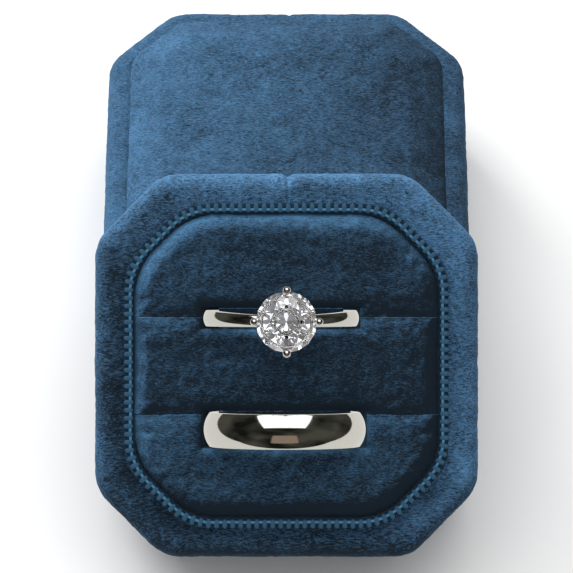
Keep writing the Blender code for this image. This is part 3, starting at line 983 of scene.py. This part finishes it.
def along(track, inset, pitch):
    """Evenly spaced places on the track's inset line, with its way and normal there."""
    points = [place - normal * inset for place, normal in track]
    lengths = [(points[(i + 1) % len(points)] - p).length for i, p in enumerate(points)]
    count = round(sum(lengths) / pitch)
    step = sum(lengths) / count
    spots = []
    travelled = 0.0
    for i, here in enumerate(points):
        ahead = points[(i + 1) % len(points)]
        way = (ahead - here).normalized()
        while len(spots) * step < travelled + lengths[i] and len(spots) < count:
            place = here + way * (len(spots) * step - travelled)
            normal = track[i][1]
            spots.append((place, Vector((-normal.y, normal.x)), normal))
        travelled += lengths[i]
    return spots


def add_bead(bm, place):
    """A small rounded bar: a cube with its edges bevelled, put in its place."""
    cube = bmesh.ops.create_cube(bm, size=2.0)["verts"]
    edges = list({e for v in cube for e in v.link_edges})
    result = bmesh.ops.bevel(
        bm, geom=edges, offset=0.45, affect="EDGES", segments=1, profile=0.5, material=-1
    )
    verts = {v for v in cube if v.is_valid} | {v for f in result["faces"] for v in f.verts}
    bmesh.ops.transform(bm, matrix=place, verts=list(verts))


# ---------------------------------------------------------------- rings
def hoop(bm, section, steps):
    """Spins a closed section of points about the Y axis."""
    verts = [bm.verts.new(p) for p in section]
    for pair in zip(verts, verts[1:] + verts[:1]):
        bm.edges.new(pair)
    bmesh.ops.spin(
        bm, geom=bm.verts[:] + bm.edges[:], axis=(0, 1, 0), cent=(0, 0, 0),
        angle=2 * math.pi, steps=steps, use_merge=True,
    )
    bmesh.ops.remove_doubles(bm, verts=bm.verts, dist=1e-7)
    bmesh.ops.recalc_face_normals(bm, faces=bm.faces)


def domed_section(inner, outer, half, crest, soft):
    """A ring's section: a flat bore, straight sides, eased edges and a dome of one arc."""
    bend = (half * half + crest * crest) / (2 * crest)
    section = [Vector((inner + soft, half, 0)), Vector((outer - crest - soft, half, 0))]
    for k in range(25):
        y = (half - 0.03 * MM) * math.cos(math.pi * k / 24)
        section.append(Vector((outer - bend + math.sqrt(bend * bend - y * y), y, 0)))
    section += [Vector((outer - crest - soft, -half, 0)), Vector((inner + soft, -half, 0))]
    for k in range(9):
        y = (half - soft) * (k / 4 - 1)
        section.append(Vector((inner + soft * (y / half) ** 4, y, 0)))
    return section


BAND_GROWTH = 1.012
BAND_WIDTH = 1.035
HOOP_GROWTH = 1.035
HOOP_WIDTH = 1.16
NARROWEST = 0.64
STONE_GROWTH = 1.025


def wedding_band(metal):
    low, high = base_box("wedding_band")
    outer = BAND_GROWTH * (high.x - low.x) / 2
    inner = outer - BAND_WALL
    half = BAND_WIDTH * (high.y - low.y) / 2
    bm = bmesh.new()
    hoop(bm, domed_section(inner, outer, half, 0.85 * MM, 0.12 * MM), 160)
    middle = (low + high) / 2 + Vector((sizes().band_aside, 0, 0))
    made = piece(bm, "band", BASE @ Matrix.Translation(middle), metal)
    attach(made, "band")
    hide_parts("wedding_band")


def hoop_place():
    """Matrix of the solitaire's hoop: its middle at the origin, its axis along Y."""
    s = sizes()
    low, high = base_box("solitaire_shank")
    radius = (high.x - low.x) / 2
    middle = Vector(((low.x + high.x) / 2 + s.hoop_aside, (low.y + high.y) / 2, high.z - radius))
    return BASE @ Matrix.Translation(middle) @ Matrix.Rotation(s.hoop_lean, 4, "Y")


def solitaire_shank(metal):
    """A hoop that narrows towards the stone along a straight lower side."""
    low, high = base_box("solitaire_shank")
    outer = HOOP_GROWTH * (high.x - low.x) / 2
    wide = HOOP_WIDTH * (high.y - low.y) / 2
    bm = bmesh.new()
    hoop(bm, domed_section(outer - HOOP_WALL, outer, wide, 0.38 * MM, 0.1 * MM), 144)
    for vert in bm.verts:
        from_top = abs(math.atan2(vert.co.x, vert.co.z))
        near_stone = 1 - min(from_top / math.radians(80), 1.0)
        shrink = 1 - (1 - NARROWEST) * near_stone
        vert.co.y = vert.co.y * shrink - wide * (1 - shrink)
    made = piece(bm, "solitaire_hoop", hoop_place(), metal)
    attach(made, "solitaire")
    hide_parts("solitaire_shank")


def stone_corners(radius, table, crown, girdle, depth):
    """Corners of a round brilliant whose kite facets are flat, girdle's foot at z = 0."""
    def circle(count, r, z, offset=0.0):
        turns = [2 * math.pi * (i + offset) / count for i in range(count)]
        return [Vector((r * math.cos(a), r * math.sin(a), z)) for a in turns]

    half_step = math.cos(math.pi / 8)
    star = 0.80
    star_drop = (star * half_step - table) / (1 - table)
    heel = 0.24
    return (
        circle(8, table * radius, girdle + crown)
        + circle(8, star * radius, girdle + crown * (1 - star_drop), 0.5)
        + circle(16, radius, girdle)
        + circle(16, radius, 0.0)
        + circle(8, heel * radius, -depth * (1 - heel * half_step), 0.5)
        + [Vector((0, 0, -depth))]
    )


def solitaire_stone():
    low, high = base_box("solitaire_stone")
    hoop_low, hoop_high = base_box("solitaire_shank")
    radius = STONE_GROWTH * (high.x - low.x) / 2
    tall = high.z - low.z
    crown = 0.26 * tall
    girdle = 0.045 * tall
    depth = tall - crown - girdle
    bm = bmesh.new()
    for corner in stone_corners(radius, 0.56, crown, girdle, depth):
        bm.verts.new(corner)
    bmesh.ops.convex_hull(bm, input=bm.verts)
    bmesh.ops.dissolve_limit(
        bm, angle_limit=math.radians(0.6), verts=bm.verts, edges=bm.edges
    )
    bmesh.ops.recalc_face_normals(bm, faces=bm.faces)
    rise = low.z + depth - hoop_high.z + (hoop_high.x - hoop_low.x) / 2
    drop = HOOP_WIDTH * (1 - NARROWEST) * (hoop_high.y - hoop_low.y) / 2
    place = hoop_place() @ Matrix.Translation((0, -drop, rise))
    made = piece(bm, "brilliant", place, stone_material(), False)
    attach(made, "solitaire")
    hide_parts("solitaire_stone")
    return place, radius, girdle, depth


def wire_along(bm, path, radius, sides=14):
    """A round wire: a circle extruded from point to point of a path in one plane."""
    before = set(bm.verts)
    bmesh.ops.create_circle(bm, cap_ends=True, segments=sides, radius=1.0)
    key = bm.verts.layers.int.get("corner") or bm.verts.layers.int.new("corner")
    ring = [v for v in bm.verts if v not in before]
    shape = {}
    for index, vert in enumerate(ring):
        vert[key] = index
        shape[index] = vert.co.copy()

    def lay(verts, spot):
        here = path[spot]
        way = (path[min(spot + 1, len(path) - 1)] - path[max(spot - 1, 0)]).normalized()
        turn = way.to_track_quat("Z", "Y").to_matrix()
        size = radius(spot / (len(path) - 1))
        for vert in verts:
            vert.co = here + turn @ (shape[vert[key]] * size)

    edges = list({e for v in ring for e in v.link_edges})
    lay(ring, 0)
    for spot in range(1, len(path)):
        edges, verts = extrude_rim(bm, edges)
        lay(verts, spot)
    bmesh.ops.edgeloop_fill(bm, edges=edges)


def bezier(corners, steps):
    """Points of a Bezier curve through its first and last corner."""
    found = []
    for k in range(steps + 1):
        row = [Vector(p) for p in corners]
        while len(row) > 1:
            row = [a.lerp(b, k / steps) for a, b in zip(row, row[1:])]
        found.append(row[0])
    return found


def solitaire_head(metal, place, radius, girdle, depth):
    """Four claws that rise from a small foot ring past a gallery ring to ball tips."""
    bm = bmesh.new()
    wire = 0.30 * MM
    stand = radius + wire + 0.03 * MM
    foot = -depth + 0.3 * MM
    tip = girdle + 0.55 * MM
    for quarter in range(4):
        turn = Matrix.Rotation(math.radians(90 * quarter), 3, "Z")
        corners = [
            (1.25 * MM, 0, foot),
            (0.62 * stand, 0, 0.45 * foot),
            (1.02 * stand, 0, 0.2 * foot),
            (stand, 0, girdle),
        ]
        path = bezier(corners, 12) + [Vector((stand - 0.05 * MM, 0, tip - 0.3 * MM))]
        path.append(Vector((stand - 0.2 * MM, 0, tip)))
        wire_along(bm, [turn @ p for p in path], lambda t: wire * (1.1 - 0.25 * t))
        ball = bmesh.ops.create_uvsphere(bm, u_segments=24, v_segments=16, radius=0.55 * MM)
        centre = turn @ Vector((stand - (0.22 if quarter % 2 else 0.08) * MM, 0, tip))
        bmesh.ops.translate(bm, verts=ball["verts"], vec=centre)
    for ring_radius, height in ((1.25 * MM, foot), (0.60 * stand, 0.44 * foot)):
        loop = bmesh.new()
        section = [
            Vector((ring_radius + 0.32 * MM * math.cos(a), 0.32 * MM * math.sin(a), 0))
            for a in [2 * math.pi * k / 12 for k in range(12)]
        ]
        hoop(loop, section, 64)
        loop.transform(
            Matrix.Translation((0, 0, height)) @ Matrix.Rotation(math.radians(90), 4, "X")
        )
        held = bpy.data.meshes.new("ring_part")
        loop.to_mesh(held)
        loop.free()
        bm.from_mesh(held)
        bpy.data.meshes.remove(held)
    bmesh.ops.recalc_face_normals(bm, faces=bm.faces)
    made = piece(bm, "solitaire_claws", place, metal)
    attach(made, "solitaire")
    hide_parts("solitaire_head")


# ---------------------------------------------------------------- what stays as packed
def finish_packed_nodes():
    c = colours()
    board = grainy_material("grey_board", tuple(c.board), 2.5, 0.85)
    foam = grainy_material("open_foam", tuple(c.foam), 3.5, 0.95)
    lining = velvet("lining_flock", c.pad_dark, c.velvet_light, 0.0, (0, 0, 0), 0.25)
    under = velvet("underside_velvet", c.velvet_dark, c.velvet_light, BASE_TILT, (0, 0, 0), 0.3)
    # Painted light: the collar's faces turned towards the far side (+Y) a little lighter.
    collar = velvet("collar_velvet", c.pad_dark, c.pad_light, BASE_TILT, (0, 0.1, 0), 0.34)
    finishes = {
        board: ("base_wall_board", "base_floor_board", "lid_wall_board", "lid_top_board"),
        foam: (
            "foam_bed", "pad_upper_foam", "pad_middle_foam", "pad_lower_foam", "lid_top_wadding",
        ),
        lining: ("lid_wall_lining", "lid_top_lining"),
        under: ("base_underside_cover",),
        collar: ("collar_board",),
    }
    for material, nodes in finishes.items():
        for node in nodes:
            part = frame["nodes"][node]
            part.data.materials.clear()
            part.data.materials.append(material)
            part.visible_glossy = False


# ---------------------------------------------------------------- stage
def studio_card(name, place, aim, width, tall, tone):
    """A painted reflection: a card that only the rings show, glowing evenly in its own tone."""
    bm = bmesh.new()
    bmesh.ops.create_grid(bm, x_segments=1, y_segments=1, size=0.5)
    turn = (aim - place).to_track_quat("Z", "Y").to_matrix().to_4x4()
    scale = Matrix.Diagonal((width, tall, 1, 1))
    net = Net(name)
    net.set(Base_Color=(0.0, 0.0, 0.0, 1.0), Roughness=1.0, Specular_IOR_Level=0.0)
    net.set(Emission_Color=(*tone, 1.0), Emission_Strength=1.0)
    card = piece(bm, name, Matrix.Translation(place) @ turn @ scale, net.material)
    card.visible_camera = False
    card.visible_diffuse = False
    card.visible_shadow = False


def area_light(name, place, aim, width, tall, power):
    data = bpy.data.lights.new(name, "AREA")
    data.shape = "RECTANGLE"
    data.size = width
    data.size_y = tall
    data.energy = power
    made = bpy.data.objects.new(name, data)
    turn = (aim - place).to_track_quat("-Z", "Y").to_matrix().to_4x4()
    made.matrix_world = Matrix.Translation(place) @ turn
    bpy.context.scene.collection.objects.link(made)
    return made


CAMERA_DISTANCE = 0.53
CAMERA_FOCAL = 237.0
CAMERA_RISE = 11.1 * MM
SENSOR = 36.0
FLOOR_SIZE = 1.5
CENTRE = Vector((0, 0, 0.02))
SOFTBOX_PLACE = Vector((0, 0.10, 0.62))
KEY_PLACE = Vector((-0.45, 0.45, 0.45))
FLOOR_REFLECTION_PLACE = Vector((0, -0.01, -0.002))
WARM_REFLECTION_PLACE = Vector((0, -0.44, 0.20))
BLOTCH_SCALE = 1.1
WORLD_STRENGTH = 0.6
# Tones of the painted reflections: the world as polished metal shows it, and as the stone shows it.
METAL_STUDIO = ((0.38, (0.012, 0.013, 0.011, 1.0)), (0.62, (0.115, 0.115, 0.095, 1.0)))
STONE_STUDIO = (
    (0.0, (0.10, 0.10, 0.11, 1.0)),
    (0.40, (0.38, 0.36, 0.36, 1.0)),
    (0.47, (0.80, 0.81, 0.84, 1.0)),
    (0.53, (0.24, 0.28, 0.36, 1.0)),
    (0.58, (2.3, 2.35, 2.45, 1.0)),
)


def studio_floor():
    bm = bmesh.new()
    bmesh.ops.create_grid(bm, x_segments=1, y_segments=1, size=FLOOR_SIZE)
    net = Net("studio_floor")
    cloud = net.noise(net.coords(), 3.0, 2.0)
    pale = tuple(colours().floor)
    net.set(Base_Color=net.mix(cloud, pale, tuple(0.99 * v for v in pale)), Roughness=0.9)
    piece(bm, "studio_floor", Matrix.Identity(4), net.material)


def camera():
    """A camera that looks straight down on the base's face."""
    face = base_box("base_velvet_wrap")[1].z
    aim = BASE @ Vector((0, CAMERA_RISE, face))
    away = BASE.to_3x3() @ Vector((0, 0, 1))
    data = bpy.data.cameras.new("camera")
    data.lens = CAMERA_FOCAL
    data.sensor_width = SENSOR
    made = bpy.data.objects.new("camera", data)
    made.matrix_world = Matrix.Translation(aim + away * CAMERA_DISTANCE) @ BASE.to_3x3().to_4x4()
    bpy.context.scene.collection.objects.link(made)
    bpy.context.scene.camera = made


def lights_and_cards():
    area_light("softbox", SOFTBOX_PLACE, CENTRE, 0.75, 0.72, 2.6)
    key = area_light("key", KEY_PLACE, CENTRE, 0.4, 0.3, 3.2)
    key.visible_glossy = False
    # Painted reflections: a pale glowing card under the floor stands in for the floor in the rings, and a
    # warm one in front adds a warm patch.
    above = FLOOR_REFLECTION_PLACE + Vector((0, 0, 1))
    studio_card("floor_reflection_card", FLOOR_REFLECTION_PLACE, above, 0.30, 0.26, (0.76, 0.755, 0.72))
    studio_card("warm_reflection_card", WARM_REFLECTION_PLACE, CENTRE, 0.27, 0.26, (0.28, 0.21, 0.16))


def studio_world():
    """White all round, with painted reflections: a dim blotchy studio in polished metal and a patchy one
    through the stone.
    """
    sky = Sky("studio")
    blotches = sky.node("ShaderNodeTexNoise", {}, {"Scale": BLOTCH_SCALE})
    in_metal = sky.node("ShaderNodeValToRGB", {"stops": METAL_STUDIO}, {"Fac": blotches})
    in_stone = sky.node("ShaderNodeValToRGB", {"stops": STONE_STUDIO}, {"Fac": blotches})
    tone = sky.mix(sky.ray("Is Glossy Ray"), (1.0, 1.0, 1.0), in_metal)
    tone = sky.mix(sky.ray("Is Transmission Ray"), tone, in_stone)
    sky.set(Color=tone, Strength=WORLD_STRENGTH)
    bpy.context.scene.world = sky.world
    bpy.context.scene.view_settings.view_transform = "Standard"


def stage():
    studio_floor()
    camera()
    lights_and_cards()
    studio_world()


# ---------------------------------------------------------------- operators
class RINGBOX_OT_stage(bpy.types.Operator):
    """Lay the pale floor and set the studio light and the camera"""

    bl_idname = "ringbox.stage"
    bl_label = "Studio"

    def execute(self, context):
        stage()
        return {"FINISHED"}


class RINGBOX_OT_packed(bpy.types.Operator):
    """Give the boards, foam, linings and collar their finishes"""

    bl_idname = "ringbox.packed"
    bl_label = "Boards and linings"

    def execute(self, context):
        finish_packed_nodes()
        return {"FINISHED"}


class RINGBOX_OT_base_velvet(bpy.types.Operator):
    """Wrap the base's wall and ledge in velvet"""

    bl_idname = "ringbox.base_velvet"
    bl_label = "Base velvet"

    def execute(self, context):
        base_wrap()
        return {"FINISHED"}


class RINGBOX_OT_lid(bpy.types.Operator):
    """Wrap the lid in velvet and pad its top"""

    bl_idname = "ringbox.lid"
    bl_label = "Lid"

    def execute(self, context):
        lid_wrap()
        lid_pad()
        return {"FINISHED"}


class RINGBOX_OT_pads(bpy.types.Operator):
    """Make the three padded sections and press the rings into them"""

    bl_idname = "ringbox.pads"
    bl_label = "Slot pads"

    def execute(self, context):
        pads()
        return {"FINISHED"}


class RINGBOX_OT_trim(bpy.types.Operator):
    """Lay the ladder ribbon on the collar"""

    bl_idname = "ringbox.trim"
    bl_label = "Collar trim"

    def execute(self, context):
        trim()
        return {"FINISHED"}


class RINGBOX_OT_rings(bpy.types.Operator):
    """Turn the plain band, and set the stone in its claws on its hoop"""

    bl_idname = "ringbox.rings"
    bl_label = "Rings"

    def execute(self, context):
        metal = metal_material()
        wedding_band(metal)
        solitaire_shank(metal)
        solitaire_head(metal, *solitaire_stone())
        return {"FINISHED"}


OPERATORS = (
    RINGBOX_OT_stage,
    RINGBOX_OT_packed,
    RINGBOX_OT_base_velvet,
    RINGBOX_OT_lid,
    RINGBOX_OT_pads,
    RINGBOX_OT_trim,
    RINGBOX_OT_rings,
)


class RINGBOX_PT_panel(bpy.types.Panel):
    """Lists the steps that build the ring box"""

    bl_idname = "RINGBOX_PT_panel"
    bl_label = "Ring Box"
    bl_space_type = "VIEW_3D"
    bl_region_type = "UI"
    bl_category = "Ring Box"

    def draw(self, context):
        for operator in OPERATORS:
            self.layout.operator(operator.bl_idname)
        for group in (context.scene.ring_box_sizes, context.scene.ring_box_colours):
            column = self.layout.column()
            for name in group.__annotations__:
                column.prop(group, name)


CLASSES = (RingBoxSizes, RingBoxColours, *OPERATORS, RINGBOX_PT_panel)


def register():
    for item in CLASSES:
        bpy.utils.register_class(item)
    bpy.types.Scene.ring_box_sizes = PointerProperty(type=RingBoxSizes)
    bpy.types.Scene.ring_box_colours = PointerProperty(type=RingBoxColours)


def unregister():
    del bpy.types.Scene.ring_box_colours
    del bpy.types.Scene.ring_box_sizes
    for item in reversed(CLASSES):
        bpy.utils.unregister_class(item)


def main():
    register()
    bpy.ops.ringbox.stage()
    bpy.ops.ringbox.packed()
    bpy.ops.ringbox.base_velvet()
    bpy.ops.ringbox.lid()
    bpy.ops.ringbox.pads()
    bpy.ops.ringbox.trim()
    bpy.ops.ringbox.rings()


if __name__ == "__main__":
    main()
